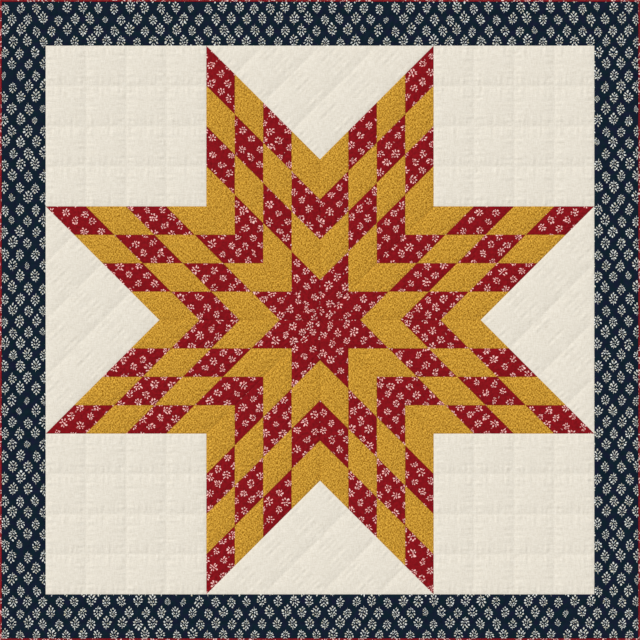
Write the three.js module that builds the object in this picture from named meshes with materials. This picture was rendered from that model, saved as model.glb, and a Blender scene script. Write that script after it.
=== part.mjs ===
// Star quilt lying flat, face up. Its top is pieced from eight star points of small diamonds, four corner
// squares, four side triangles and four mitred border strips, and a folded binding wraps the raw edge.
// A panel is the whole quilted thickness of its part of the quilt: flat underneath, sewn down along its
// seams and quilting lines, and puffed between them.
// Millimetres, +Z up. The origin is the middle of the underside, and +Y is the head of the quilt.

import * as THREE from "three";

// Driving dimensions.
const FINISHED_SIDE = 2032; // 80 in, over the binding
const BINDING_SHOW = 6.35; // binding that shows on the face
const BINDING_BACK = 8; // binding turned to the back, a little wider
const BORDER_WIDTH = 139.7; // from the binding to the border's inner seam
const STAR_POINTS = 8;
const CORNERS = 4;
const CELLS = 4; // diamonds along an edge of a star point, and quilted cells along a ground piece
const CHANNELS = 3; // quilted channels along a border strip
const PIECE_GAP = 0.3; // clearance between neighbouring pieces

// Thickness of the sewn layers.
const SEAM_HEIGHT = 2.4; // at a seam or a quilting line
const PATCH_LOFT = 3; // a diamond's crown over its seams
const GROUND_LOFT = 2.4; // a cream cell's crown over its quilting lines
const BORDER_LOFT = 2.6; // a border channel's crown over its quilting lines
const EDGE_THICKNESS = 1.8; // the quilt's raw edge, pressed inside the binding
const FOLD_THICKNESS = 1; // the binding's doubled cloth
const FOLD_RADIUS = 1.9; // round of the binding's outer fold

// A puff's stations across a cell, as shares of its width, and how full its rounded shape is.
const PUFF_STATIONS = [0, 0.14, 0.5, 0.86];
const PUFF_FULLNESS = 0.5;
const STRIP_STATIONS = 9; // stations along a border or binding strip
const FOLD_STEPS = 6; // facets of the binding's outer fold

// Sizes that follow.
const HALF_SIDE = FINISHED_SIDE / 2;
const HALF_BLOCK = HALF_SIDE - BINDING_SHOW - BORDER_WIDTH;
const POINT_ANGLE = (2 * Math.PI) / STAR_POINTS;
const POINT_SIDE = HALF_BLOCK / (1 + Math.cos(POINT_ANGLE));
const SEAM_INSET = PIECE_GAP / 2;
const MITRE_INSET = SEAM_INSET * Math.SQRT2;
const EDGE_BOTTOM = FOLD_THICKNESS + PIECE_GAP;
const EDGE_TOP = EDGE_BOTTOM + EDGE_THICKNESS;
const BINDING_TOP = EDGE_TOP + PIECE_GAP + FOLD_THICKNESS;

const cloth = (color, roughness) => new THREE.MeshStandardMaterial({ color, roughness, metalness: 0 });
const MUSTARD_AND_RED = cloth(0xc29030, 0.9);
const CREAM_MUSLIN = cloth(0xe7e0d2, 0.92);
const NAVY_PRINT = cloth(0x16212e, 0.9);
const RED_PRINT = cloth(0x8c111b, 0.9);

// Height of a puff at a share of the way across its cell: 0 at the quilting lines, 1 at the crown.
function puff(across) {
  return Math.sin(Math.PI * across) ** PUFF_FULLNESS;
}

// Height of a puff in a cell that a slanting seam halves: s and t run along its two legs.
function halfPuff(s, t) {
  const crown = 1 / 27; // s, t and 1 - s - t are each a third there
  return Math.max(0, (s * t * (1 - s - t)) / crown) ** PUFF_FULLNESS;
}

// Stations along a row of cells, each with its cell, its share of that cell and its share of the row.
function stationsAlong(cells) {
  const stations = [];
  for (let cell = 0; cell < cells; cell += 1) {
    for (const across of PUFF_STATIONS) {
      stations.push({ cell, across, at: (cell + across) / cells });
    }
  }
  stations.push({ cell: cells - 1, across: 1, at: 1 });
  return stations;
}

// A closed geometry from points and the triangles between them.
function geometryOf(points, triangles) {
  const geometry = new THREE.BufferGeometry().setFromPoints(points);
  geometry.setIndex(triangles.flat());
  geometry.computeVertexNormals();
  return geometry;
}

// Closes a puffed top with straight walls and a flat underside. Each side lists its points' numbers from
// corner to corner, and the sides run anticlockwise.
function closeBelow(points, triangles, sides) {
  const corners = sides.map((side) => {
    const { x, y } = points[side[0]];
    return points.push(new THREE.Vector3(x, y, 0)) - 1;
  });
  sides.forEach((side, k) => {
    const [here, next] = [corners[k], corners[(k + 1) % corners.length]];
    const middle = Math.floor(side.length / 2);
    triangles.push([here, next, side[middle]]);
    for (let i = 0; i + 1 < side.length; i += 1) {
      triangles.push([i < middle ? here : next, side[i + 1], side[i]]);
    }
  });
  for (let k = 1; k + 1 < corners.length; k += 1) {
    triangles.push([corners[0], corners[k + 1], corners[k]]);
  }
  return geometryOf(points, triangles);
}

// Two triangles over a square of the grid, split so that every puff is alike on all its sides.
function splitQuad(a, b, c, d, alongRising) {
  return alongRising ? [[a, b, c], [a, c, d]] : [[a, b, d], [b, c, d]];
}

const inFirstHalf = (station) => station.across < 0.5;

// A four-sided panel of puffed cells, from its corner along two edges that turn anticlockwise.
function quiltedPanel(corner, edgeU, edgeV, loft) {
  const stations = stationsAlong(CELLS);
  const count = stations.length;
  const slant = Math.abs(edgeU.clone().normalize().cross(edgeV.clone().normalize()));
  const inset = SEAM_INSET / (edgeU.length() * slant);
  const place = (at) => inset + at * (1 - 2 * inset);
  const points = [];
  for (const u of stations) {
    for (const v of stations) {
      const spot = corner.clone().addScaledVector(edgeU, place(u.at)).addScaledVector(edgeV, place(v.at));
      points.push(new THREE.Vector3(spot.x, spot.y, SEAM_HEIGHT + loft * puff(u.across) * puff(v.across)));
    }
  }
  const number = (i, j) => i * count + j;
  const last = count - 1;
  const triangles = [];
  for (let i = 0; i < last; i += 1) {
    for (let j = 0; j < last; j += 1) {
      const alike = inFirstHalf(stations[i]) === inFirstHalf(stations[j]);
      triangles.push(
        ...splitQuad(number(i, j), number(i + 1, j), number(i + 1, j + 1), number(i, j + 1), alike),
      );
    }
  }
  const steps = stations.map((_, k) => k);
  const sides = [
    steps.map((k) => number(k, 0)),
    steps.map((k) => number(last, k)),
    steps.map((k) => number(last - k, last)),
    steps.map((k) => number(0, last - k)),
  ];
  return closeBelow(points, triangles, sides);
}

// A right-angled triangle of puffed cells, from its right angle along two equal legs that turn
// anticlockwise.
function quiltedTriangle(corner, legU, legV, loft) {
  const stations = stationsAlong(CELLS);
  const last = stations.length - 1;
  const inset = SEAM_INSET / legU.length();
  const reach = 1 - inset * (2 + Math.SQRT2);
  const numbers = new Map();
  const points = [];
  const number = (i, j) => numbers.get(i * stations.length + j);
  for (let i = 0; i <= last; i += 1) {
    for (let j = 0; i + j <= last; j += 1) {
      const [u, v] = [stations[i], stations[j]];
      const spot = corner
        .clone()
        .addScaledVector(legU, inset + u.at * reach)
        .addScaledVector(legV, inset + v.at * reach);
      const halved = u.cell + v.cell >= CELLS - 1;
      const rise = halved ? halfPuff(u.across, v.across) : puff(u.across) * puff(v.across);
      numbers.set(i * stations.length + j, points.length);
      points.push(new THREE.Vector3(spot.x, spot.y, SEAM_HEIGHT + loft * rise));
    }
  }
  const triangles = [];
  for (let i = 0; i < last; i += 1) {
    for (let j = 0; i + j < last; j += 1) {
      if (i + j === last - 1) {
        triangles.push([number(i, j), number(i + 1, j), number(i, j + 1)]);
        continue;
      }
      const alike = inFirstHalf(stations[i]) === inFirstHalf(stations[j]);
      triangles.push(
        ...splitQuad(number(i, j), number(i + 1, j), number(i + 1, j + 1), number(i, j + 1), alike),
      );
    }
  }
  const steps = stations.map((_, k) => k);
  const sides = [
    steps.map((k) => number(k, 0)),
    steps.map((k) => number(last - k, k)),
    steps.map((k) => number(0, last - k)),
  ];
  return closeBelow(points, triangles, sides);
}

// A strip along the quilt's foot with mitred ends. Its section runs anticlockwise, seen from +X, as
// distances in from the finished edge and heights.
function mitredStrip(section) {
  const rings = [];
  const points = [];
  for (let k = 0; k < STRIP_STATIONS; k += 1) {
    const share = (2 * k) / (STRIP_STATIONS - 1) - 1;
    rings.push(
      section.map(({ inward, height }) => {
        const along = share * (HALF_SIDE - inward - MITRE_INSET);
        return points.push(new THREE.Vector3(along, inward - HALF_SIDE, height)) - 1;
      }),
    );
  }
  const triangles = [];
  for (let k = 0; k + 1 < rings.length; k += 1) {
    section.forEach((_, i) => {
      const j = (i + 1) % section.length;
      const [a, b, c, d] = [rings[k][i], rings[k + 1][i], rings[k + 1][j], rings[k][j]];
      triangles.push([a, c, b], [a, d, c]);
    });
  }
  const outline = section.map(({ inward, height }) => new THREE.Vector2(inward, height));
  for (const [a, b, c] of THREE.ShapeUtils.triangulateShape(outline, [])) {
    const [first, last] = [rings[0], rings[rings.length - 1]];
    triangles.push([first[a], first[c], first[b]], [last[a], last[b], last[c]]);
  }
  return geometryOf(points, triangles);
}

// Border section: flat underneath, stepped up over the binding's back, pressed to a thin raw edge, then
// three puffed channels up to the inner seam.
function borderSection() {
  const inner = HALF_SIDE - HALF_BLOCK - SEAM_INSET;
  const rawEdge = FOLD_THICKNESS + PIECE_GAP;
  const puffStart = BINDING_SHOW + PIECE_GAP;
  const backStart = BINDING_BACK + PIECE_GAP;
  const top = stationsAlong(CHANNELS).map(({ at, across }) => ({
    inward: puffStart + at * (inner - puffStart),
    height: SEAM_HEIGHT + BORDER_LOFT * puff(across),
  }));
  top[0].height = EDGE_TOP;
  return [
    { inward: rawEdge, height: EDGE_BOTTOM },
    { inward: backStart, height: EDGE_BOTTOM },
    { inward: backStart, height: 0 },
    { inward: inner, height: 0 },
    ...top.reverse(),
    { inward: rawEdge, height: EDGE_TOP },
  ];
}

// Binding section: one folded strip, round over the edge, that holds the raw edge between its two legs.
function bindingSection() {
  const outside = [];
  for (let k = 0; k <= FOLD_STEPS; k += 1) {
    const turn = (k / FOLD_STEPS) * Math.PI;
    outside.push({
      inward: FOLD_RADIUS * (1 - Math.sin(turn)),
      height: (BINDING_TOP / 2) * (1 + Math.cos(turn)),
    });
  }
  return [
    { inward: BINDING_SHOW, height: BINDING_TOP },
    ...outside,
    { inward: BINDING_BACK, height: 0 },
    { inward: BINDING_BACK, height: FOLD_THICKNESS },
    { inward: FOLD_THICKNESS, height: FOLD_THICKNESS },
    { inward: FOLD_THICKNESS, height: BINDING_TOP - FOLD_THICKNESS },
    { inward: BINDING_SHOW, height: BINDING_TOP - FOLD_THICKNESS },
  ];
}

const polar = (length, angle) => new THREE.Vector2(length * Math.cos(angle), length * Math.sin(angle));

// One eighth of the star: its long diagonal lies half a point's angle past the +X axis.
function starPoint() {
  return quiltedPanel(
    new THREE.Vector2(0, 0),
    polar(POINT_SIDE, 0),
    polar(POINT_SIDE, POINT_ANGLE),
    PATCH_LOFT,
  );
}

// The square in the +X +Y corner of the star block.
function cornerSquare() {
  const near = HALF_BLOCK - POINT_SIDE;
  return quiltedPanel(
    new THREE.Vector2(near, near),
    new THREE.Vector2(POINT_SIDE, 0),
    new THREE.Vector2(0, POINT_SIDE),
    GROUND_LOFT,
  );
}

// The triangle between two star points on the +X side, its right angle towards the middle.
function sideTriangle() {
  return quiltedTriangle(
    new THREE.Vector2(POINT_SIDE, 0),
    polar(POINT_SIDE, -POINT_ANGLE),
    polar(POINT_SIDE, POINT_ANGLE),
    GROUND_LOFT,
  );
}

// Copies of one piece turned about the middle of the quilt, each its own named mesh.
function turnedCopies(name, count, geometry, material) {
  const ring = new THREE.Group();
  for (let k = 0; k < count; k += 1) {
    const mesh = new THREE.Mesh(geometry, material);
    mesh.name = `${name}_${k + 1}`;
    mesh.rotation.z = (k * 2 * Math.PI) / count;
    ring.add(mesh);
  }
  return ring;
}

const quilt = new THREE.Group();
quilt.name = "star_quilt";
quilt.add(
  turnedCopies("star_point", STAR_POINTS, starPoint(), MUSTARD_AND_RED),
  turnedCopies("corner_square", CORNERS, cornerSquare(), CREAM_MUSLIN),
  turnedCopies("side_triangle", CORNERS, sideTriangle(), CREAM_MUSLIN),
  turnedCopies("border_strip", CORNERS, mitredStrip(borderSection()), NAVY_PRINT),
  turnedCopies("binding_strip", CORNERS, mitredStrip(bindingSection()), RED_PRINT),
);

export default quilt;
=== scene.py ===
# %% [markdown]
# # A star quilt, laid flat and dressed in cloth
# A quilt is a sandwich of a pieced top, a soft filling and a plain backing, held together by lines of
# stitching. This one has a large star of eight points, each pieced from sixteen small diamonds, on a plain
# cream ground, with a printed border and a narrow folded binding.
# The frame below holds the panels as plain solids at their real size and place. This lesson gives each of
# them its cloth: puffed between its stitching, printed, sewn and bound.

# %% Open the frame and keep its box
import math

import bpy
import numpy as np
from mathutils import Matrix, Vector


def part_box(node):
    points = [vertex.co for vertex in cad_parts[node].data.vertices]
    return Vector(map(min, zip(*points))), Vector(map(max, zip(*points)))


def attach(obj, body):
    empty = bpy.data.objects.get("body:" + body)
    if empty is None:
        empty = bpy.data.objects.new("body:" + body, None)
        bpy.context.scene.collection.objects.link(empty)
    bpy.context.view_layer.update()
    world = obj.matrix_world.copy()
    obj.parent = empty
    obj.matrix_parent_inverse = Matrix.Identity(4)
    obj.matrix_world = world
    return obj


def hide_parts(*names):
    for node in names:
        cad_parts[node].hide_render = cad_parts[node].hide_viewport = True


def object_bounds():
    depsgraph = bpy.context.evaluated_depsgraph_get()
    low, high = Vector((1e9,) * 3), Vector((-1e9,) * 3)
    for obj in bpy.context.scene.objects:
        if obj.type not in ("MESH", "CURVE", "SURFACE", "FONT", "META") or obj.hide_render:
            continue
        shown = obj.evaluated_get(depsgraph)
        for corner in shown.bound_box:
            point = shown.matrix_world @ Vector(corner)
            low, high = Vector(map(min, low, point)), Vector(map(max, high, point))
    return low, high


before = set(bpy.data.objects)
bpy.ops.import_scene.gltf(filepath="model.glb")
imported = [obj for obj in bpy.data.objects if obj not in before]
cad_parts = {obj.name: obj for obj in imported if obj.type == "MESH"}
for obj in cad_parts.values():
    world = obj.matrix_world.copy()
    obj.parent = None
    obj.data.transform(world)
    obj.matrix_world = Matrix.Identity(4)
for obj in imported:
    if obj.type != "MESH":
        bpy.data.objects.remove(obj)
CAD_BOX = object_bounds()
print("panels in the frame:", len(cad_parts), "from", CAD_BOX[0][:], "to", CAD_BOX[1][:])

# %% [markdown]
# ## The sizes that everything follows
# A quilter drafts this star from one number, the side of the block that holds it. A star point's edge is
# that half side over 1 + cos 45 degrees, and a diamond is a quarter of it. So only the block's half side is
# read from the frame, and the rest is worked out here.

# %% Sizes in metres
MM = 0.001
SEAM_GAP = 0.3 * MM  # clearance between the plain solids, which the cloth closes
SEAM_HEIGHT = 2.4 * MM  # thickness where the layers are sewn together
STAR_POINTS = 8
CORNERS = 4
CELLS = 4  # diamonds along an edge of a star point, and quilted cells along a ground panel
CHANNELS = 3  # quilted channels along a border strip
POINT_ANGLE = 2 * math.pi / STAR_POINTS
CORNER_ANGLE = 2 * math.pi / CORNERS
HALF_SIDE = CAD_BOX[1].x
HALF_BLOCK = -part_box("border_strip_1")[1].y - SEAM_GAP / 2
POINT_SIDE = HALF_BLOCK / (1 + math.cos(POINT_ANGLE))
CELL_SIDE = POINT_SIDE / CELLS
CELL_WIDTH = CELL_SIDE * math.sin(POINT_ANGLE)  # between a diamond's opposite sides
print(f"star point {POINT_SIDE:.4f} m along an edge, diamond {CELL_WIDTH:.4f} m between its sides")

# %% [markdown]
# ## A short way to write shader nodes
# Printed cloth needs many small sums in its shader. Adding every Math node by hand hides the idea, so one
# class wraps a socket and lets Python's own operators add the nodes. Every other node comes from one
# method, which takes the node's type, its settings and the values or links of its sockets.

# %% Numbers that become Math nodes
class Number:
    """A value that changes over the cloth. Sums written with it become Math nodes."""

    def __init__(self, finish, socket):
        self.finish = finish
        self.socket = socket

    def math(self, operation, first, second=0.0):
        return self.finish.number("ShaderNodeMath", {"operation": operation}, {0: first, 1: second})

    def __add__(self, other):
        return self.math("ADD", self, other)

    def __radd__(self, other):
        return self.math("ADD", other, self)

    def __sub__(self, other):
        return self.math("SUBTRACT", self, other)

    def __rsub__(self, other):
        return self.math("SUBTRACT", other, self)

    def __mul__(self, other):
        return self.math("MULTIPLY", self, other)

    def __rmul__(self, other):
        return self.math("MULTIPLY", other, self)

    def __truediv__(self, other):
        return self.math("DIVIDE", self, other)

    def __rtruediv__(self, other):
        return self.math("DIVIDE", other, self)

    def __gt__(self, other):
        return self.math("GREATER_THAN", self, other)

    def __abs__(self):
        return self.math("ABSOLUTE", self)

    def __floor__(self):
        return self.math("FLOOR", self)

    def smaller(self, other):
        return self.math("MINIMUM", self, other)

    def larger(self, other):
        return self.math("MAXIMUM", self, other)

    def wave(self):
        return self.math("SINE", self)


# %% Finishes and their nodes
class Finish:
    """A cloth's material, and the one way in which its nodes are added."""

    SHINE = 0.12  # cotton hardly mirrors

    def __init__(self, name, roughness):
        self.material = bpy.data.materials.new(name)
        self.material.use_nodes = True
        self.nodes = self.material.node_tree.nodes
        self.links = self.material.node_tree.links
        self.shader = self.nodes["Principled BSDF"]
        self.shader.inputs["Roughness"].default_value = roughness
        self.shader.inputs["Specular IOR Level"].default_value = self.SHINE

    def node(self, kind, settings, inputs):
        node = self.nodes.new(kind)
        for setting, value in settings.items():
            setattr(node, setting, value)
        for socket, value in inputs.items():
            self.feed(node.inputs[socket], value)
        return node

    def feed(self, socket, value):
        if isinstance(value, Number):
            self.links.new(value.socket, socket)
        else:
            socket.default_value = value

    def number(self, kind, settings, inputs, output=0):
        return Number(self, self.node(kind, settings, inputs).outputs[output])

    def mix(self, share, first, second):
        inputs = {0: share, 6: first, 7: second}
        return self.number("ShaderNodeMix", {"data_type": "RGBA"}, inputs, output=2)

    def fade(self, value, full, none):
        """1 up to full and 0 past none, with a soft step between."""
        settings = {"interpolation_type": "SMOOTHSTEP"}
        inputs = {"Value": value, "From Min": full, "From Max": none, "To Min": 1.0, "To Max": 0.0}
        return self.number("ShaderNodeMapRange", settings, inputs)

    def place(self, layer):
        return self.number("ShaderNodeUVMap", {"uv_map": layer}, {})

    def apart(self, vector):
        node = self.node("ShaderNodeSeparateXYZ", {}, {0: vector})
        return [Number(self, socket) for socket in node.outputs]

    def together(self, x, y, z=0.0):
        return self.number("ShaderNodeCombineXYZ", {}, {0: x, 1: y, 2: z})

    def noise(self, vector, stretch=(1, 1, 1), detail=1.0):
        """A soft random value around one half, with grains as long as stretch gives."""
        inputs = {"Vector": vector, "Scale": tuple(1 / s for s in stretch)}
        scaled = self.number("ShaderNodeMapping", {}, inputs)
        return self.number("ShaderNodeTexNoise", {}, {"Vector": scaled, "Scale": 1.0, "Detail": detail})

    def wobble(self, vector, grain, reach):
        """The vector pushed about by a share of reach, differently from one grain to the next."""
        inputs = {"Vector": vector, "Scale": 1 / grain, "Detail": 1.0}
        push = self.number("ShaderNodeTexNoise", {}, inputs, output="Color")
        inputs = {0: push, 1: (reach, reach, 0), 2: vector}
        return self.number("ShaderNodeVectorMath", {"operation": "MULTIPLY_ADD"}, inputs)

    def chances(self, column, row, seed):
        """Three random numbers from 0 to 1 that stay the same all over one motif's place."""
        vector = self.together(column, row, seed)
        return self.apart(self.number("ShaderNodeTexWhiteNoise", {}, {"Vector": vector}, output="Color"))

    def wear(self, colour, height, depth):
        bump = self.number("ShaderNodeBump", {}, {"Strength": 1.0, "Distance": depth, "Height": height})
        self.feed(self.shader.inputs["Base Color"], colour)
        self.feed(self.shader.inputs["Normal"], bump)
        return self.material


# %% Colours
def paint(red, green, blue):
    """A colour as a dyer would read it off a screen, 0 to 255, as the shader's linear value."""
    def linear(value):
        share = value / 255
        return share / 12.92 if share <= 0.04045 else ((share + 0.055) / 1.055) ** 2.4

    return (linear(red), linear(green), linear(blue), 1.0)

# %% [markdown]
# ## Plain weave
# All these cottons are woven one over, one under, from threads about a third of a millimetre thick. Two
# crossed waves give that chequer of small rises as bump. Thicker places in the yarn, called slubs, are what
# shows from further off, so they get their own stretched noise, one each way. The pieced cloths also share a
# soft line of painted shade along their seams, for the shadow where the cloth turns down into the stitching.

# %% The weave that all the cloths share
THREAD = 0.7  # millimetres from one thread to the next but one
THREAD_SHARE = 0.5  # of the bump, from the threads
SLUB = (0.9, 28, 1)  # a slub's width and length in millimetres
SLUB_SHARE = 2.0  # of the bump, from the slubs
WEAVE_DEPTH = 0.05 * MM
PAINTED_SEAM_SHADE = (0.2, 1.8)  # millimetres from a seam where its painted shade is full, and where it ends


def weave(finish, spot):
    """(bump height of the threads, slubs around zero) at a spot on the cut cloth, in millimetres."""
    across, along, _ = finish.apart(spot)
    turn = 2 * math.pi / THREAD
    threads = (across * turn).wave() * (along * turn).wave()
    crosswise = (SLUB[1], SLUB[0], 1)
    slubs = finish.noise(spot, SLUB) + finish.noise(spot, crosswise) - 1.0
    return threads * THREAD_SHARE + slubs * SLUB_SHARE, slubs


def spot_on_cloth(finish):
    """Where a point lies on the cloth it was cut from, in millimetres."""
    inputs = {0: finish.place("cut"), "Scale": 1 / MM}
    return finish.number("ShaderNodeVectorMath", {"operation": "SCALE"}, inputs)


def painted_seam_shade(finish):
    """How much painted shade a spot gets: 1 on a diamond's nearest seam, where the cloth turns down, 0 away.
    """
    across, along, _ = finish.apart(finish.place("cell"))
    nearest = across.smaller(1.0 - across).smaller(along.smaller(1.0 - along))
    return finish.fade(nearest * (CELL_WIDTH / MM), *PAINTED_SEAM_SHADE)


print(f"weave: {THREAD / 2} mm threads, slubs {SLUB[1]} mm long")

# %% [markdown]
# ## Cream muslin
# The ground and the backing are unbleached muslin, the plainest cloth in the quilt. Its colour hardly moves:
# a little warmer here, a little greyer there, with faint threads. Too much pattern would make it look like
# canvas, so each part of the mix stays within a few hundredths.

# %% Muslin
CREAM_LIGHT = paint(244, 238, 225)
CREAM_DARK = paint(218, 210, 194)
COARSE = (3.2, 17, 1)  # a coarse thread's width and length in millimetres
MOTTLE = (4.5, 4.5, 1)


def coarse_threads(finish, spot):
    """Coarse threads both ways, around zero."""
    return finish.noise(spot, COARSE) + finish.noise(spot, (COARSE[1], COARSE[0], 1)) - 1.0


def muslin():
    cloth = Finish("cream muslin", roughness=0.92)
    spot = spot_on_cloth(cloth)
    height, slubs = weave(cloth, spot)
    mottle = cloth.noise(spot, MOTTLE, detail=2) - 0.5
    share = mottle * 0.75 + coarse_threads(cloth, spot) * 0.75 + slubs * 0.7 + 0.5
    return cloth.wear(cloth.mix(share, CREAM_LIGHT, CREAM_DARK), height, WEAVE_DEPTH)


CREAM = muslin()
print("finish:", CREAM.name)

# %% [markdown]
# ## Mustard homespun
# The mustard patches are one flat dye on a coarse yarn, so the colour breaks into small darker and lighter
# flecks. Noise at the size of the flecks does this, with two more that are drawn out along the warp and along
# the weft, so that the flecks cross as the threads do.

# %% Mustard
MUSTARD_DARK = paint(146, 96, 4)
MUSTARD_LIGHT = paint(234, 181, 68)
FLECK = (3.4, 3.8, 1)  # millimetres across and along, and so for the next two
WARP_FLECK = (1.9, 7, 1)
WEFT_FLECK = (6, 1.9, 1)
HOMESPUN_DEPTH = 0.07 * MM


def homespun():
    cloth = Finish("mustard homespun", roughness=0.9)
    spot = spot_on_cloth(cloth)
    height, slubs = weave(cloth, spot)
    flecks = cloth.noise(spot, FLECK, detail=2) - 0.5
    warp = cloth.noise(spot, WARP_FLECK) - 0.5
    weft = cloth.noise(spot, WEFT_FLECK) - 0.5
    share = flecks * 1.8 + warp * 3.0 + weft * 2.7 + slubs * 0.6 + 0.5
    colour = cloth.mix(share, MUSTARD_DARK, MUSTARD_LIGHT)
    # Painted shade: a thin darker line along the seams, for the shadow in the ditch where the cloth turns
    # down.
    colour = cloth.mix(painted_seam_shade(cloth) * 0.25, colour, MUSTARD_DARK)
    return cloth.wear(colour, height, HOMESPUN_DEPTH)


MUSTARD = homespun()
print("finish:", MUSTARD.name)

# %% [markdown]
# ## Charted prints
# The red and the navy cloths are small-figured calicoes: a little sprig or plume, repeated all over. A
# printer would chart one figure and set it out on a lattice. The same is done here. A chart lists the petals
# of one figure. A Mapping node in Texture mode moves and turns each petal to a unit circle, so that the
# length of what comes out is under 1 inside the petal, and the smallest of those lengths draws them all.

# %% Petals from a chart
PETAL_EDGE = (0.9, 1.1)  # shares of a petal's reach at which its ink is full, and at which it ends
BLUSH = (6, 6, 1)  # millimetres from one tint of the pale ink to the next


def nearest_petal(finish, spot, chart):
    """How far a spot in millimetres is from the chart's nearest petal: under 1 inside it."""
    nearest = None
    for side, up, length, width, lean in chart:
        inputs = {
            "Vector": spot,
            "Location": (side, up, 0),
            "Rotation": (0, 0, math.radians(-lean)),
            "Scale": (width / 2, length / 2, 1),
        }
        petal = finish.number("ShaderNodeMapping", {"vector_type": "TEXTURE"}, inputs)
        reach = finish.number("ShaderNodeVectorMath", {"operation": "LENGTH"}, {0: petal}, "Value")
        nearest = reach if nearest is None else nearest.smaller(reach)
    return nearest

# %% [markdown]
# ## Red sprigged calico
# The red cloth carries small pale sprigs, tossed at every angle, with a few loose dots between them. Two
# sprigs take turns on the lattice. Every place draws its own turn, size and shift from a White Noise node, so
# that no row shows, and a wobble bends the petals, because no two prints of a wooden block are alike.

# %% Red calico
RED_GROUND = paint(149, 13, 25)
RED_DEEP = paint(115, 10, 17)
# The colour of the painted shade in the red cloth's seams, for the shadow in their ditches.
RED_PAINTED_SHADE = paint(74, 4, 10)
PINK_WHITE = paint(255, 222, 216)
PINK = paint(255, 172, 166)
SPRIG_PITCH = (54, 54)  # millimetres between like sprigs
SPRIG_STRAY = 9  # millimetres that a sprig may stray from its place
# A petal's middle to the side and up, its length, its width and its lean to the side in degrees.
RING_SPRIG = (
    (0.9, 10.2, 6.8, 4.2, 6),
    (7.8, 6.2, 6.6, 4.0, 52),
    (9.6, -2.0, 6.8, 4.2, 102),
    (5.0, -8.8, 6.6, 4.0, 150),
    (-3.6, -9.4, 6.8, 4.2, 202),
    (-9.2, -3.0, 6.6, 4.0, 252),
    (-7.6, 5.8, 6.8, 4.2, 308),
    (-1.6, 2.4, 4.8, 3.0, 330),
    (2.4, -2.2, 4.8, 3.0, 130),
)
SPRAY_SPRIG = (
    (0.4, 11.8, 6.8, 4.2, 2),
    (6.2, 8.0, 6.6, 4.0, 38),
    (-5.8, 7.2, 6.6, 4.0, -40),
    (7.8, 0.2, 6.4, 4.0, 62),
    (-7.6, -1.2, 6.4, 4.0, -64),
    (5.0, -7.4, 5.6, 3.6, 80),
    (-4.6, -8.6, 5.6, 3.6, -82),
    (0.0, -3.0, 15.0, 1.4, 3),
)
LOOSE_DOT = ((0, 0, 4.8, 4.0, 20),)
DOT_EDGE = (0.8, 1.2)
DOT_INK = 0.5
BARE = 0.3  # share of the places that have no dot
RED_CLOUDS = (9, 9, 1)  # millimetres from one shade of the ground to the next


def lattice(finish, spot, pitch, shift, seed):
    """(millimetres to the side and up from the middle of a cell, and three chances of that cell)."""
    across, along, _ = finish.apart(spot)
    column_at = across / pitch[0] + shift
    row_at = along / pitch[1] + shift
    column = math.floor(column_at)
    row = math.floor(row_at)
    side = (column_at - column - 0.5) * pitch[0]
    up = (row_at - row - 0.5) * pitch[1]
    return side, up, finish.chances(column, row, seed)


def tossed_figure(finish, spot, shift, seed, chart):
    """How far a spot is from the nearest petal of figures that lie at every angle, and one chance."""
    side, up, (turn, size, stray) = lattice(finish, spot, SPRIG_PITCH, shift, seed)
    moved = finish.together(side + (stray - 0.5) * SPRIG_STRAY, up + (size - 0.5) * SPRIG_STRAY)
    inputs = {"Vector": moved, "Angle": turn * 2 * math.pi}
    turned = finish.number("ShaderNodeVectorRotate", {"rotation_type": "Z_AXIS"}, inputs)
    shrink = 1.24 - stray * 0.3  # figures come from 0.81 to 1.06 of the chart's size
    inputs = {0: turned, "Scale": shrink}
    grown = finish.number("ShaderNodeVectorMath", {"operation": "SCALE"}, inputs)
    return nearest_petal(finish, grown, chart), turn


def calico():
    cloth = Finish("red sprigged calico", roughness=0.9)
    spot = spot_on_cloth(cloth)
    height, slubs = weave(cloth, spot)
    printed = cloth.wobble(spot, grain=13, reach=14)
    ring, _ = tossed_figure(cloth, printed, 0.0, 3.0, RING_SPRIG)
    spray, _ = tossed_figure(cloth, printed, 0.5, 8.0, SPRAY_SPRIG)
    dot, chance = tossed_figure(cloth, printed, 0.25, 5.0, LOOSE_DOT)
    petals = cloth.fade(ring.smaller(spray), *PETAL_EDGE)
    dots = cloth.fade(dot, *DOT_EDGE) * (chance > BARE) * DOT_INK
    ground = cloth.mix(cloth.noise(spot, RED_CLOUDS, detail=2) * 2.0 - 0.5 + slubs, RED_GROUND, RED_DEEP)
    # Painted shade: the ground darkens along the seams, for the shadow in the ditch where the cloth turns
    # down.
    ground = cloth.mix(painted_seam_shade(cloth) * 0.4, ground, RED_PAINTED_SHADE)
    pale = cloth.mix(cloth.noise(spot, BLUSH) * 2.4 - 0.7, PINK_WHITE, PINK)
    ink = 1.0 - abs(slubs) * 0.3
    colour = cloth.mix(petals.larger(dots) * ink, ground, pale)
    return cloth.wear(colour, height, WEAVE_DEPTH)


RED = calico()
print("finish:", RED.name, "with", len(RING_SPRIG), "and", len(SPRAY_SPRIG), "petals to a sprig")

# %% [markdown]
# ## Navy plume print
# The border cloth has upright plumes on a dark ground, set so that each row falls between the plumes of the
# next: two lattices, the second half a step over and up. A plume is the same on both sides of its stem, so
# its chart holds one side, and the distance from the stem is taken without its sign. Some stand on their
# heads and some are smaller.

# %% Navy print
NAVY_GROUND = paint(4, 29, 40)
NAVY_DEEP = paint(15, 21, 47)
PLUME_PALE = paint(238, 243, 241)
PLUME_TAN = paint(190, 178, 132)
PLUME_PITCH = (49.5, 71)  # millimetres from one plume to the next in its row, and up to the next like row
PLUME_STRAY = 6  # millimetres that a plume may stray from its place
PLUME_LEAN = 0.25  # the range of a plume's lean, sideways for each step up
HEAD_DOWN = 0.45  # share of the plumes that stand on their heads
USUAL = 0.93  # share that aren't small
NAVY_CLOUDS = (22, 22, 1)  # millimetres from one shade of the ground to the next
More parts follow.
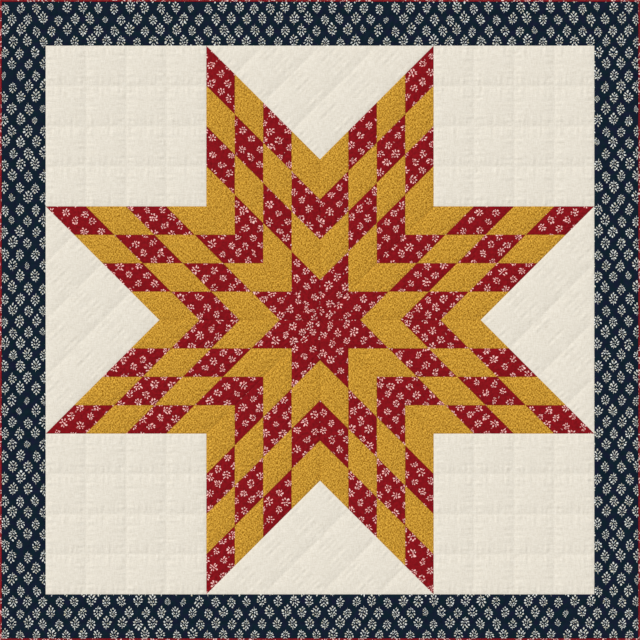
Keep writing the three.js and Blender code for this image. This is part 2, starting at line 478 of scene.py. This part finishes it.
# Half a plume: a leaf's middle from the stem and up it, its length, its width and its lean in degrees.
PLUME = (
    (0.0, 19.4, 7.4, 4.6, 0),
    (6.8, 13.0, 7.2, 4.4, 36),
    (11.8, 4.8, 7.2, 4.6, 56),
    (2.9, 7.4, 6.0, 2.6, 14),
    (10.6, -4.6, 7.0, 4.4, 80),
    (4.0, -1.6, 6.0, 2.6, 36),
    (5.6, -11.2, 6.2, 4.0, 108),
    (0.0, -13.0, 15.0, 1.8, 0),
)


def plume_row(finish, spot, shift, seed):
    """How far a spot is from the nearest leaf of one lattice of plumes."""
    side, up, (head, size, rare) = lattice(finish, spot, PLUME_PITCH, shift, seed)
    upright = (head > HEAD_DOWN) * 2.0 - 1.0
    shrink = 1.01 + size * 0.22 + (rare > USUAL) * 0.6  # a small one is two thirds as large
    side = (side + (rare - 0.5) * PLUME_STRAY) * shrink
    up = (up + (size - 0.5) * PLUME_STRAY) * shrink * upright
    place = finish.together(abs(side + up * (rare - 0.5) * PLUME_LEAN), up)
    return nearest_petal(finish, place, PLUME)


def plumes():
    cloth = Finish("navy plume print", roughness=0.9)
    spot = spot_on_cloth(cloth)
    height, slubs = weave(cloth, spot)
    printed = cloth.wobble(spot, grain=14, reach=10)
    nearest = plume_row(cloth, printed, 0.0, 5.0).smaller(plume_row(cloth, printed, 0.5, 9.0))
    leaves = cloth.fade(nearest, *PETAL_EDGE)
    ground = cloth.mix(cloth.noise(spot, NAVY_CLOUDS, detail=2) * 3.0 - 1.1, NAVY_GROUND, NAVY_DEEP)
    pale = cloth.mix(cloth.noise(spot, BLUSH) * 2.6 - 1.05, PLUME_PALE, PLUME_TAN)
    ink = 0.98 - abs(slubs) * 0.5
    colour = cloth.mix(leaves * ink, ground, pale)
    return cloth.wear(colour, height, WEAVE_DEPTH)


NAVY = plumes()
print("finish:", NAVY.name, "with", len(PLUME), "leaves to half a plume")

# %% [markdown]
# ## Flat panels first
# Each panel starts as a flat grid, as cloth comes off the cutting table. A grid is made one unit wide and its
# points are then put where the panel lies, so that every point keeps its share of the way across and along.
# Those shares tell which diamond a point is in and how far it is from a line of stitching.

# %% Grids and their points
MERGE = 0.01 * MM  # points closer than this are one


def polar(length, angle):
    return np.array([length * math.cos(angle), length * math.sin(angle)])


def points_of(piece):
    points = np.empty(len(piece.data.vertices) * 3)
    piece.data.vertices.foreach_get("co", points)
    return points.reshape(-1, 3)


def put_points(piece, points):
    piece.data.vertices.foreach_set("co", np.ascontiguousarray(points).ravel())
    piece.data.update()


def lift(piece, rise):
    points = points_of(piece)
    points[:, 2] += rise
    put_points(piece, points)


def new_grid(name, columns, rows):
    """A flat grid, and each point's share of the way across and along it."""
    bpy.ops.object.select_all(action="DESELECT")
    bpy.ops.mesh.primitive_grid_add(x_subdivisions=columns, y_subdivisions=rows, size=1)
    piece = bpy.context.object
    piece.name = name
    piece.data.name = name
    return piece, points_of(piece)[:, :2] + 0.5


def pick(piece):
    bpy.ops.object.select_all(action="DESELECT")
    piece.select_set(True)
    bpy.context.view_layer.objects.active = piece


def edit(piece, select_mode="FACE"):
    pick(piece)
    bpy.ops.object.mode_set(mode="EDIT")
    bpy.ops.mesh.select_mode(type=select_mode)


def leave_edit():
    bpy.ops.object.mode_set(mode="OBJECT")


# %% Where each face comes from on the cloth
def corners_of_faces(piece, share):
    """The shares of every face corner, of the middle of that corner's face, and of every face's middle."""
    mesh = piece.data
    point = np.empty(len(mesh.loops), int)
    mesh.loops.foreach_get("vertex_index", point)
    first = np.empty(len(mesh.polygons), int)
    mesh.polygons.foreach_get("loop_start", first)
    count = np.empty(len(mesh.polygons), int)
    mesh.polygons.foreach_get("loop_total", count)
    corner = share[point]
    middle = np.add.reduceat(corner, first) / count[:, None]
    return corner, np.repeat(middle, count, axis=0), middle


def write_map(piece, name, values):
    layer = piece.data.uv_layers.get(name) or piece.data.uv_layers.new(name=name)
    layer.uv.foreach_set("vector", values.astype(np.float32).ravel())


def wear_by_face(piece, materials, choice):
    for material in materials:
        piece.data.materials.append(material)
    piece.data.polygons.foreach_set("material_index", choice.astype(np.int32))

# %% [markdown]
# ## Star points
# A point is four rows of four diamonds. The rows cross the point, and their colours alternate from red at the
# middle of the star to red at its tip: a diamond is red when its two counts add up to an even number. Every
# diamond is cut from its own metre of cloth, so that the print breaks at each seam as it does when pieced.

# %% Lay out the star points
STEPS = 32  # grid steps along a cell
CUT_ROOM = 0.85  # metres of a bolt's metre in which a diamond's corner may fall


def slanted_panel(name, corner, edges):
    """A flat grid of cells on two edges, and the points' shares along them."""
    panel, share = new_grid(name, CELLS * STEPS, CELLS * STEPS)
    flat = corner + share @ edges
    put_points(panel, np.column_stack([flat, np.zeros(len(flat))]))
    return panel, share


def depth_in_cell(share):
    """0 on the stitching round a cell and 1 at its middle."""
    within = share * CELLS - np.floor(share * CELLS + 1e-6)
    return 2 * np.minimum(within, 1 - within).min(axis=1).clip(0)


def lines_both_ways(share, spacing):
    across, along = share.T * CELLS
    return [(across, along * CELL_SIDE, spacing), (along, across * CELL_SIDE, spacing)]


def piece_diamonds(panel, share, edges, draw):
    corner, middle, face = corners_of_faces(panel, share)
    cell = np.floor(middle * CELLS)
    bolt = draw.uniform(0, CUT_ROOM, (CELLS, CELLS, 2)) + draw.integers(0, 40, (CELLS, CELLS, 2))
    number = cell.astype(int)
    write_map(panel, "cell", corner * CELLS - cell)
    write_map(panel, "cut", (corner - cell / CELLS) @ edges + bolt[number[:, 0], number[:, 1]])
    is_mustard = np.floor(face * CELLS).sum(axis=1) % 2
    wear_by_face(panel, [RED, MUSTARD, CREAM], is_mustard)


depths = {}
quilted_lines = {}  # for each panel, the lines' count, the way along them and their spacing, at every point
star_points = []
for k in range(STAR_POINTS):
    edges = np.array([polar(POINT_SIDE, k * POINT_ANGLE), polar(POINT_SIDE, (k + 1) * POINT_ANGLE)])
    panel, share = slanted_panel(f"pieced_star_point_{k + 1}", np.zeros(2), edges)
    piece_diamonds(panel, share, edges, np.random.default_rng(100 + k))
    depths[panel.name] = depth_in_cell(share)
    quilted_lines[panel.name] = lines_both_ways(share, CELL_WIDTH)
    edit(panel)
    bpy.ops.mesh.select_all(action="SELECT")
    bpy.ops.mesh.quads_convert_to_tris(quad_method="SHORTEST_DIAGONAL")
    leave_edit()
    star_points.append(panel)
print("star points:", len(star_points), "with", len(star_points[0].data.vertices), "points each")

# %% [markdown]
# ## Ground squares and triangles
# The cream ground is plain muslin, so its cells are only quilting lines. A triangle is half of a square, cut
# along the diagonal with the bisect tool, which here passes through the corners of the grid.

# %% Lay out the ground squares
def square_edges(k):
    """A ground square's corner nearest the middle of the star, and its two edges from there."""
    turn = k * CORNER_ANGLE
    edges = np.array([polar(POINT_SIDE, turn), polar(POINT_SIDE, turn + CORNER_ANGLE)])
    return polar((HALF_BLOCK - POINT_SIDE) * math.sqrt(2), turn + CORNER_ANGLE / 2), edges


def plain_cloth(piece, finish, place, offset):
    """One cloth without seams. Its points lie at their places, offset metres along the bolt."""
    corner, _, face = corners_of_faces(piece, place)
    write_map(piece, "cell", np.full_like(corner, 0.5))
    write_map(piece, "cut", corner + offset)
    wear_by_face(piece, [finish], np.zeros(len(face)))


ground_squares = []
for k in range(CORNERS):
    corner, edges = square_edges(k)
    panel, share = slanted_panel(f"muslin_square_{k + 1}", corner, edges)
    plain_cloth(panel, CREAM, points_of(panel)[:, :2], (10.0 + k, 20.0))
    depths[panel.name] = depth_in_cell(share)
    quilted_lines[panel.name] = lines_both_ways(share, CELL_SIDE)
    ground_squares.append(panel)
print("ground squares:", len(ground_squares))

# %% Cut the ground triangles
def triangle_edges(k):
    """A ground triangle's right angle, and its two short sides from there."""
    turn = k * CORNER_ANGLE
    edges = np.array([polar(POINT_SIDE, turn - POINT_ANGLE), polar(POINT_SIDE, turn + POINT_ANGLE)])
    return polar(POINT_SIDE, turn), edges


ground_triangles = []
for k in range(CORNERS):
    right_angle, edges = triangle_edges(k)
    panel, _ = slanted_panel(f"muslin_triangle_{k + 1}", right_angle, edges)
    edit(panel)
    bpy.ops.mesh.select_all(action="SELECT")
    bpy.ops.mesh.bisect(
        plane_co=(*(right_angle + edges[0]), 0),
        plane_no=(*polar(1, k * CORNER_ANGLE), 0),
        clear_outer=True,
        threshold=MERGE,
    )
    leave_edit()
    share = (points_of(panel)[:, :2] - right_angle) @ np.linalg.inv(edges)
    to_long_side = (1 - share.sum(axis=1)).clip(0) * CELLS
    plain_cloth(panel, CREAM, points_of(panel)[:, :2], (10.0 + k, 30.0))
    depths[panel.name] = np.minimum(depth_in_cell(share), 2 * to_long_side)
    quilted_lines[panel.name] = lines_both_ways(share, CELL_SIDE)
    ground_triangles.append(panel)
print("ground triangles:", len(ground_triangles))

# %% [markdown]
# ## Strips with mitred ends
# The borders and the binding are long strips that meet at the corners on a slant of 45 degrees. A strip is a
# grid rolled round a section: one way runs along the quilt's side and the other goes round the section, and a
# point's distance in from the finished edge shortens its run, which gives the mitre. The two edges of the
# grid that meet are merged and the ends are filled.

# %% Roll a grid round a section
def mitred_strip(name, section, columns, turn):
    """A closed strip along one side of the quilt. section lists distances inward and heights."""
    closed = np.array([*section, section[0]])
    strip, share = new_grid(name, columns, len(section))
    station = np.rint(share[:, 1] * len(section)).astype(int)
    inward, height = closed[station].T
    along = (1 - 2 * share[:, 0]) * (HALF_SIDE - inward)
    out = inward - HALF_SIDE
    x = along * math.cos(turn) - out * math.sin(turn)
    y = along * math.sin(turn) + out * math.cos(turn)
    put_points(strip, np.column_stack([x, y, height]))
    return strip, along, station

# %% [markdown]
# ## Borders
# A border strip is one length of navy print with three quilted channels along it. Its outer edge is pressed
# flat and runs under the binding, and its plumes stand upright on all four sides of the quilt, so its cloth
# is cut by the quilt's own directions.

# %% The border's section
BINDING_SHOW = 6.35 * MM  # binding that shows on the face
BINDING_BACK = 8 * MM  # binding turned to the back
FOLD_THICKNESS = 1 * MM  # the binding's doubled cloth
CLEAR = 0.3 * MM
PRESSED_EDGE = 1.8 * MM  # the quilt's flat edge inside the binding
EDGE_BOTTOM = FOLD_THICKNESS + CLEAR
EDGE_TOP = EDGE_BOTTOM + PRESSED_EDGE
BINDING_TOP = EDGE_TOP + CLEAR + FOLD_THICKNESS
CHANNEL_STEPS = 11
STRIP_COLUMNS = 440
inner_seam = HALF_SIDE - HALF_BLOCK
face_rows = CHANNELS * CHANNEL_STEPS

border_section = [
    (inner_seam + (BINDING_SHOW - inner_seam) * (step / face_rows), SEAM_HEIGHT) for step in range(face_rows)
]
border_section += [
    (BINDING_SHOW, EDGE_TOP),
    (EDGE_BOTTOM, EDGE_TOP),
    (EDGE_BOTTOM, EDGE_BOTTOM),
    (BINDING_BACK + CLEAR, EDGE_BOTTOM),
    (BINDING_BACK + CLEAR, 0),
    (inner_seam, 0),
]
print("border section:", len(border_section), "points round")

# %% Lay out the borders
borders = []
for k in range(CORNERS):
    strip, along, station = mitred_strip(
        f"plume_border_{k + 1}", border_section, STRIP_COLUMNS, k * CORNER_ANGLE
    )
    plain_cloth(strip, NAVY, points_of(strip)[:, :2], (50.0, 0.0))
    _, _, row = corners_of_faces(strip, np.column_stack([station, station]))
    wear_by_face(strip, [CREAM], row[:, 0] > face_rows + 2)
    within = station / CHANNEL_STEPS - np.floor(station / CHANNEL_STEPS)
    channel = 2 * np.minimum(within, 1 - within)
    inward = np.array([*border_section, border_section[0]])[station, 0]
    to_mitre = (HALF_SIDE - inward - abs(along)).clip(0) / (inner_seam / CHANNELS)
    depths[strip.name] = np.where(station < face_rows, np.minimum(channel, 2 * to_mitre), 0)
    quilted_lines[strip.name] = [(station / CHANNEL_STEPS, along, inner_seam / CHANNELS)]
    borders.append(strip)
print("borders:", len(borders), "with", len(borders[0].data.vertices), "points each")

# %% [markdown]
# ## Puffs and puckers by cloth simulation
# The stitching holds the layers down, and the filling pushes the cloth up between the lines. The cloth is a
# little longer than the stitched line, because thread draws up and cotton shrinks in the wash. Blender's
# cloth does just that: the points on the lines are pinned, the cloth grows by a hundredth, and pressure lifts
# it. Separate cloths are worked out side by side, so all the panels are stepped together. The puffs are then
# pressed to a quarter more than the loft of the plain solids, and the small puckers that run out from every
# line, too fine for the simulation's grid, are raised point by point.

# %% How high each panel puffs
LOFT = {
    "pieced_star_point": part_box("star_point_1")[1].z - SEAM_HEIGHT,
    "muslin_square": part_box("corner_square_1")[1].z - SEAM_HEIGHT,
    "muslin_triangle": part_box("side_triangle_1")[1].z - SEAM_HEIGHT,
    "plume_border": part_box("border_strip_1")[1].z - SEAM_HEIGHT,
}
STITCHED = 1e-3  # depth below which a point is on the stitching
panels = star_points + ground_squares + ground_triangles + borders
print("loft, mm:", {kind: round(loft / MM, 2) for kind, loft in LOFT.items()})

# %% A cloth that is held at its stitching and pushed up by its filling
SLACK = 0.012  # how much longer the cloth is than its stitching
SETTLE_FRAMES = 12
START_LIFT = 0.4 * MM  # how far the free points start above the stitching
START_SCATTER = 0.12 * MM


def fill_with_pressure(panel, seed):
    free = depths[panel.name] > STITCHED
    draw = np.random.default_rng(seed)
    lift(panel, free * draw.normal(START_LIFT, START_SCATTER, len(free)))
    held = panel.vertex_groups.new(name="stitched")
    held.add(np.flatnonzero(~free).tolist(), 1.0, "REPLACE")
    cloth = panel.modifiers.new("filling", "CLOTH")
    cloth.collision_settings.use_collision = False
    cloth.point_cache.frame_end = SETTLE_FRAMES
    fabric = cloth.settings
    fabric.vertex_group_mass = held.name
    fabric.quality = 4
    fabric.mass = 0.15
    fabric.bending_stiffness = 2
    fabric.air_damping = 2
    fabric.shrink_min = -SLACK
    fabric.use_pressure = True
    fabric.uniform_pressure_force = 30
    fabric.effector_weights.gravity = 0


# %% Pressing and puckers
PLUMP = 1.25  # the cloth's puffs, as a share of the loft of the plain solids
FULLEST = 1.15  # the highest puff, as a share of the usual one
STEEPNESS = 0.72  # under 1, puffs rise steeply from the stitching
PUCKER_HEIGHT = 1.6 * MM
PUCKER_REACH = 9 * MM  # how far from the stitching a pucker is highest
PUCKER_ROOM = 0.25  # depth at which puckers have their full height
PUCKER_LENGTHS = np.array([13, 17, 23, 37]) * MM


def press_to_loft(panel, rest):
    """Scales the puffs to the panel's loft, and steepens them beside the stitching, as pressing does."""
    points = points_of(panel)
    rise = points[:, 2] - rest
    free = depths[panel.name] > STITCHED
    loft = PLUMP * LOFT[panel.name.rsplit("_", 1)[0]]
    crown = np.percentile(rise[free], 99)
    points[:, 2] = rest + loft * np.clip(rise / crown, 0, FULLEST) ** STEEPNESS
    put_points(panel, points)
    return crown


def pucker(panel, draw):
    """Raises short ridges that run out from each line of stitching, where the thread drew the cloth up."""
    points = points_of(panel)
    room = (depths[panel.name] / PUCKER_ROOM).clip(0, 1)
    for count, run, spacing in quilted_lines[panel.name]:
        line = np.rint(count).astype(int)
        out = abs(count - line) * spacing / PUCKER_REACH
        phase = draw.uniform(0, 2 * np.pi, (line.max() + 1, len(PUCKER_LENGTHS)))
        ridges = np.sin(2 * np.pi * run[:, None] / PUCKER_LENGTHS + phase[line]).mean(axis=1)
        points[:, 2] += room * PUCKER_HEIGHT * out * np.exp(1 - out) * ridges
    put_points(panel, points)


# %% Let the filling push up between the stitching
rests = {}
for seed, panel in enumerate(panels):
    if panel not in borders:
        lift(panel, SEAM_HEIGHT)
    rests[panel.name] = points_of(panel)[:, 2]
    fill_with_pressure(panel, seed)

for frame_number in range(1, SETTLE_FRAMES + 1):
    bpy.context.scene.frame_set(frame_number)
for panel in panels:
    bpy.context.view_layer.objects.active = panel
    bpy.ops.object.modifier_apply(modifier="filling")
    panel.vertex_groups.clear()
crowns = [press_to_loft(panel, rests[panel.name]) for panel in panels]
for seed, panel in enumerate(panels):
    pucker(panel, np.random.default_rng(500 + seed))
print("crowns before pressing, mm:", [round(crown / MM, 1) for crown in crowns])

# %% [markdown]
# ## Down to the backing
# A puffed sheet is only the top of the sandwich. Its rim is extruded down to the floor, flattened there and
# filled, which gives the seam's hidden side and the flat backing. The fill is poked, so that it is a fan of
# plain triangles. The walls and the underside are muslin.

# %% Rims and fills
SMOOTH_ANGLE = math.radians(55)
FACING_UP = 0.2  # a face whose normal rises less than this is a wall or the backing


def select_rim():
    bpy.ops.mesh.select_all(action="DESELECT")
    bpy.ops.mesh.select_non_manifold(
        extend=False,
        use_wire=False,
        use_boundary=True,
        use_multi_face=False,
        use_non_contiguous=False,
        use_verts=False,
    )


def close_underneath(panel):
    edit(panel, "EDGE")
    select_rim()
    bpy.ops.mesh.extrude_edges_move()
    bpy.ops.transform.resize(value=(1, 1, 0), center_override=(0, 0, 0))
    bpy.ops.mesh.edge_face_add()
    bpy.ops.mesh.select_mode(type="FACE")
    bpy.ops.mesh.poke()
    leave_edit()


def close_strip(strip):
    edit(strip, "EDGE")
    bpy.ops.mesh.select_all(action="SELECT")
    bpy.ops.mesh.remove_doubles(threshold=MERGE)
    select_rim()
    bpy.ops.mesh.fill_holes(sides=0)
    bpy.ops.mesh.select_all(action="SELECT")
    bpy.ops.mesh.normals_make_consistent(inside=False)
    leave_edit()


def back_with_muslin(panel):
    normal = np.empty(len(panel.data.polygons) * 3)
    panel.data.polygons.foreach_get("normal", normal)
    choice = np.empty(len(panel.data.polygons), np.int32)
    panel.data.polygons.foreach_get("material_index", choice)
    choice[normal[2::3] < FACING_UP] = len(panel.data.materials) - 1
    panel.data.polygons.foreach_set("material_index", choice)


def smooth(piece, angle=SMOOTH_ANGLE):
    pick(piece)
    bpy.ops.object.shade_smooth_by_angle(angle=angle)


# %% Close the panels
for panel in star_points + ground_squares + ground_triangles:
    close_underneath(panel)
for strip in borders:
    close_strip(strip)
for panel in panels:
    back_with_muslin(panel)
    smooth(panel)
print("closed panels:", len(panels), "with", sum(len(p.data.polygons) for p in panels), "faces")

# %% [markdown]
# ## Binding
# The binding is a doubled strip of the red calico, folded round the raw edge: one leg on the face, one a
# little wider on the back, and a round fold between them. Where the stitches draw it down it dips a little,
# so its face leg rises and falls softly along its length. Such a strip is cut aslant, on the bias, so that
# it stretches round the corners, and its sprigs lie aslant too.

# %% The binding's section and its dips
FOLD_RADIUS = 1.9 * MM
FOLD_STEPS = 8
LEG_STEPS = 3
BINDING_COLUMNS = 400
TUCK = 0.25 * MM  # how far the face leg's edge is pressed down
DIP = 0.22 * MM  # how far the stitches draw the face leg down
DIP_LENGTHS = (11 * MM, 17 * MM, 41 * MM)


def binding_section():
    section = []
    for step in range(LEG_STEPS):
        inward = BINDING_SHOW + (FOLD_RADIUS - BINDING_SHOW) * step / LEG_STEPS
        section.append((inward, BINDING_TOP - (TUCK if step == 0 else 0)))
    for step in range(FOLD_STEPS + 1):
        turn = math.pi * step / FOLD_STEPS
        section.append((FOLD_RADIUS * (1 - math.sin(turn)), BINDING_TOP / 2 * (1 + math.cos(turn))))
    section += [
        (BINDING_BACK, 0),
        (BINDING_BACK, FOLD_THICKNESS),
        (FOLD_THICKNESS, FOLD_THICKNESS),
        (FOLD_THICKNESS, BINDING_TOP - FOLD_THICKNESS),
        (BINDING_SHOW, BINDING_TOP - FOLD_THICKNESS),
    ]
    return section


def draw_down(strip, along, station, draw):
    """Dips along the face leg, deepest at its inner edge and none at the fold."""
    wave = np.zeros(len(along))
    for length in DIP_LENGTHS:
        wave += np.sin(2 * np.pi * along / length + draw.uniform(0, 2 * np.pi)) / len(DIP_LENGTHS)
    on_leg = np.where(station < LEG_STEPS, 1 - station / LEG_STEPS, 0)
    lift(strip, DIP * wave * on_leg)


# %% Cut and fold the four strips
BIAS_ANGLE = math.radians(38)  # between the strip and the cloth's rows of sprigs
BIAS = np.array([polar(1, BIAS_ANGLE), polar(1, BIAS_ANGLE + math.pi / 2)])
fold = binding_section()
around = np.concatenate([[0], np.cumsum(np.linalg.norm(np.diff([*fold, fold[0]], axis=0), axis=1))])
BINDING_WIDTH = around[LEG_STEPS + FOLD_STEPS + 1]  # from the face leg's edge round to the back leg's
bindings = []
for k in range(CORNERS):
    strip, along, station = mitred_strip(f"calico_binding_{k + 1}", fold, BINDING_COLUMNS, k * CORNER_ANGLE)
    draw_down(strip, along, station, np.random.default_rng(300 + k))
    place = np.column_stack([along, around[station]]) @ BIAS
    plain_cloth(strip, RED, place, (60.0 + 11 * k, 41.0))
    close_strip(strip)
    smooth(strip)
    bindings.append(strip)
print(f"binding: {len(bindings)} strips, {BINDING_WIDTH / MM:.1f} mm from edge to edge round the fold")

# %% [markdown]
# ## Quilting stitches
# On the ground and the borders the quilting is a running stitch, which shows as short dashes of thread with
# gaps between them. One stitch is modelled from a thin cylinder, bent so that both its ends dive into the
# cloth, and a row of copies follows each line. Thousands of stitches are one mesh, made from arrays.

# %% Model one stitch
STITCH_LENGTH = 2.8 * MM
STITCH_PITCH = 5.2 * MM
THREAD_SIDES = 5
THREAD_RADIUS = 0.3 * MM
THREAD_ANGLE = math.radians(80)  # over the turn from one of its sides to the next, so that it looks round
PRESSED = 0.7  # a stitch's height, as a share of its width
STITCH_RISE = 0.3 * MM  # its middle over the quilting line
STITCH_SINK = 0.3 * MM  # its ends under it


def model_stitch():
    bpy.ops.object.select_all(action="DESELECT")
    bpy.ops.mesh.primitive_cylinder_add(vertices=THREAD_SIDES, radius=THREAD_RADIUS, depth=STITCH_LENGTH)
    stitch = bpy.context.object
    edit(stitch, "EDGE")
    bpy.ops.mesh.select_all(action="SELECT")
    bpy.ops.transform.rotate(value=math.pi / 2, orient_axis="Y", center_override=(0, 0, 0))
    bpy.ops.mesh.bisect(plane_co=(-STITCH_LENGTH / 5, 0, 0), plane_no=(1, 0, 0))
    bpy.ops.mesh.select_all(action="SELECT")
    bpy.ops.mesh.bisect(plane_co=(STITCH_LENGTH / 5, 0, 0), plane_no=(1, 0, 0))
    leave_edit()
    points = points_of(stitch)
    reach = (2 * points[:, 0] / STITCH_LENGTH) ** 2
    points[:, 2] = points[:, 2] * PRESSED + STITCH_RISE - (STITCH_RISE + STITCH_SINK) * reach
    put_points(stitch, points)
    return stitch


# %% Rows of stitches in one mesh
STITCH_STRETCH = 0.12  # share by which a stitch may be longer or shorter
STITCH_DRIFT = 0.12 * MM  # how far it strays from its line


def sew_rows(name, lines, stitch, thread, draw):
    """One mesh of running stitches along lines, each from a start to an end on the quilt's plane."""
    shape = points_of(stitch)
    faces = [list(polygon.vertices) for polygon in stitch.data.polygons]
    places = []
    for start, end in lines:
        run = np.subtract(end, start)
        length = np.linalg.norm(run)
        ahead = run / length
        aside = np.array([-ahead[1], ahead[0]])
        count = int(length / STITCH_PITCH)
        for number in range(count):
            middle = start + ahead * length * (number + 0.5) / count
            stretch = draw.uniform(1 - STITCH_STRETCH, 1 + STITCH_STRETCH)
            drift = draw.normal(0, STITCH_DRIFT)
            flat = middle + np.outer(shape[:, 0] * stretch, ahead) + np.outer(shape[:, 1] + drift, aside)
            places.append(np.column_stack([flat, shape[:, 2] + SEAM_HEIGHT]))
    mesh = bpy.data.meshes.new(name)
    corners = [[i + k * len(shape) for i in face] for k in range(len(places)) for face in faces]
    mesh.from_pydata(np.concatenate(places), [], corners)
    mesh.materials.append(thread)
    rows = bpy.data.objects.new(name, mesh)
    bpy.context.collection.objects.link(rows)
    smooth(rows, THREAD_ANGLE)
    return rows


# %% Thread
TWIST = 0.4 * MM  # the grain of the thread's twist
TWIST_DEPTH = 0.1 * MM


def thread_finish(name, colour):
    thread = Finish(name, roughness=0.7)
    spot = thread.number("ShaderNodeTexCoord", {}, {}, output="Object")
    twist = thread.noise(spot, (TWIST, TWIST, TWIST))
    darker = tuple(0.7 * part for part in colour[:3]) + (1.0,)
    return thread.wear(thread.mix(twist, colour, darker), twist, TWIST_DEPTH)


CREAM_THREAD = thread_finish("cream quilting thread", paint(250, 245, 234))
NAVY_THREAD = thread_finish("navy quilting thread", paint(24, 34, 50))
print("finishes:", CREAM_THREAD.name, "and", NAVY_THREAD.name)

# %% Where the quilting lines run
def lines_across(corner, edges, is_half):
    """The quilting lines inside a ground panel: both ways, up to the long side of a half square."""
    lines = []
    for number in range(1, CELLS):
        share = number / CELLS
        reach = 1 - share if is_half else 1
        for side, run in (edges, edges[::-1]):
            lines.append((corner + share * side, corner + share * side + reach * run))
    return lines


def ground_lines():
    lines = []
    for k in range(CORNERS):
        lines += lines_across(*square_edges(k), is_half=False)
        lines += lines_across(*triangle_edges(k), is_half=True)
    return lines


def border_lines():
    lines = []
    for k in range(CORNERS):
        for number in range(1, CHANNELS):
            inward = inner_seam + (BINDING_SHOW - inner_seam) * number / CHANNELS
            corner = polar((HALF_SIDE - inward) * math.sqrt(2), k * CORNER_ANGLE - 3 * math.pi / 4)
            lines.append((corner, corner + polar(2 * (HALF_SIDE - inward), k * CORNER_ANGLE)))
    return lines


# %% Sew the quilting lines
stitch = model_stitch()
ground_stitches = sew_rows("ground_stitches", ground_lines(), stitch, CREAM_THREAD, np.random.default_rng(7))
border_stitches = sew_rows("border_stitches", border_lines(), stitch, NAVY_THREAD, np.random.default_rng(8))
bpy.data.objects.remove(stitch)
print("stitch faces:", len(ground_stitches.data.polygons), len(border_stitches.data.polygons))

# %% [markdown]
# ## Every piece in its place
# Each piece of cloth is hung on the root body that carries it, and the plain solid that it stands for
# is hidden.

# %% Hand the pieces to the frame
STAR_AREA = POINT_SIDE**2 * math.sin(POINT_ANGLE)
BORDER_WIDTH = HALF_SIDE - BINDING_SHOW - HALF_BLOCK
BORDER_LENGTH = 2 * (HALF_SIDE - BINDING_SHOW)
square_cut = (POINT_SIDE, POINT_SIDE)
border_cut = (BORDER_WIDTH, BORDER_LENGTH)
border_area = BORDER_WIDTH * (BORDER_LENGTH - BORDER_WIDTH)
binding_cut = (BINDING_WIDTH, 2 * HALF_SIDE)

for pieces, node, slot, cut, area, held in (
    (star_points, "star_point", "star_patches", square_cut, STAR_AREA, "laid"),
    (ground_squares, "corner_square", "cream_muslin", square_cut, POINT_SIDE**2, "laid"),
    (ground_triangles, "side_triangle", "cream_muslin", square_cut, POINT_SIDE**2 / 2, "laid"),
    (borders, "border_strip", "navy_print", border_cut, border_area, "laid"),
    (bindings, "binding_strip", "red_print", binding_cut, None, "folded"),
):
    for number, piece in enumerate(pieces, 1):
        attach(piece, "root")
        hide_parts(f"{node}_{number}")
for rows, slot in ((ground_stitches, "cream_muslin"), (border_stitches, "navy_print")):
    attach(rows, "root")
print("pieces handed over:", len(panels) + len(bindings) + 2)

# %% [markdown]
# ## Floor, light and camera
# The quilt lies on a plain pale floor under soft studio light. The camera hangs straight above it with a long
# lens, so that the sides stay square, and the quilt just fills the picture. The main light is a wide sun
# lamp, which lights all of the quilt alike and comes in low from one side to draw out the puffs. An even glow
# from all round gives the other half of the light and keeps the shadows soft.

# %% Floor
FLOOR_SIDE = 60
FLOOR_DROP = 0.2 * MM
CLOUD = 0.6  # metres from one faint cloud in the floor's colour to the next
FLOOR_GRAIN = 0.1 * MM
FLOOR_LIGHT = paint(222, 220, 216)
FLOOR_DARK = paint(214, 212, 208)
bpy.ops.object.select_all(action="DESELECT")
bpy.ops.mesh.primitive_plane_add(size=FLOOR_SIDE, location=(0, 0, -FLOOR_DROP))
floor = bpy.context.object
floor.name = "floor"
floor_finish = Finish("pale floor", roughness=0.8)
floor_spot = floor_finish.number("ShaderNodeTexCoord", {}, {}, output="Object")
cloudy = floor_finish.noise(floor_spot, (CLOUD, CLOUD, CLOUD), detail=2)
floor_colour = floor_finish.mix(cloudy, FLOOR_LIGHT, FLOOR_DARK)
floor.data.materials.append(floor_finish.wear(floor_colour, cloudy, FLOOR_GRAIN))
print("floor:", FLOOR_SIDE, "m across")

# %% Light
GLOW = 0.5  # of the light comes evenly from all round
KEY_HEIGHT = math.radians(40)  # the main light over the horizon
KEY_TURN = math.radians(135)  # and round from the quilt's right-hand side
KEY_SPREAD = math.radians(18)  # how wide it looks from the quilt

key_light = bpy.data.lights.new("key light", "SUN")
key_light.angle = KEY_SPREAD
key_light.energy = math.pi * (1 - GLOW) / math.sin(KEY_HEIGHT)
key_lamp = bpy.data.objects.new("key light", key_light)
key_lamp.rotation_euler = (0, math.pi / 2 - KEY_HEIGHT, KEY_TURN)
bpy.context.collection.objects.link(key_lamp)
world = bpy.data.worlds.new("studio")
world.use_nodes = True
background = world.node_tree.nodes["Background"]
background.inputs["Color"].default_value = (1.0, 1.0, 1.0, 1.0)
background.inputs["Strength"].default_value = GLOW
bpy.context.scene.world = world
bpy.context.scene.view_settings.view_transform = "Standard"
print(f"light: a sun of {key_light.energy:.2f} and a glow of {GLOW}")

# %% Camera
LENS = 100  # millimetres, on a sensor as wide as the picture
SENSOR = 36
FRAME_INSET = 1.2 * MM  # how far inside the fold the picture's edge lies
PICTURE_SIDE = 2 * (HALF_SIDE - FRAME_INSET)  # what the picture spans at the quilt's face
camera = bpy.data.objects.new("camera", bpy.data.cameras.new("camera"))
camera.data.lens = LENS
camera.data.sensor_width = SENSOR
camera.location = (0, 0, SEAM_HEIGHT + PICTURE_SIDE * LENS / SENSOR)
bpy.context.collection.objects.link(camera)
bpy.context.scene.camera = camera
print(f"camera: {camera.location.z:.2f} m up")
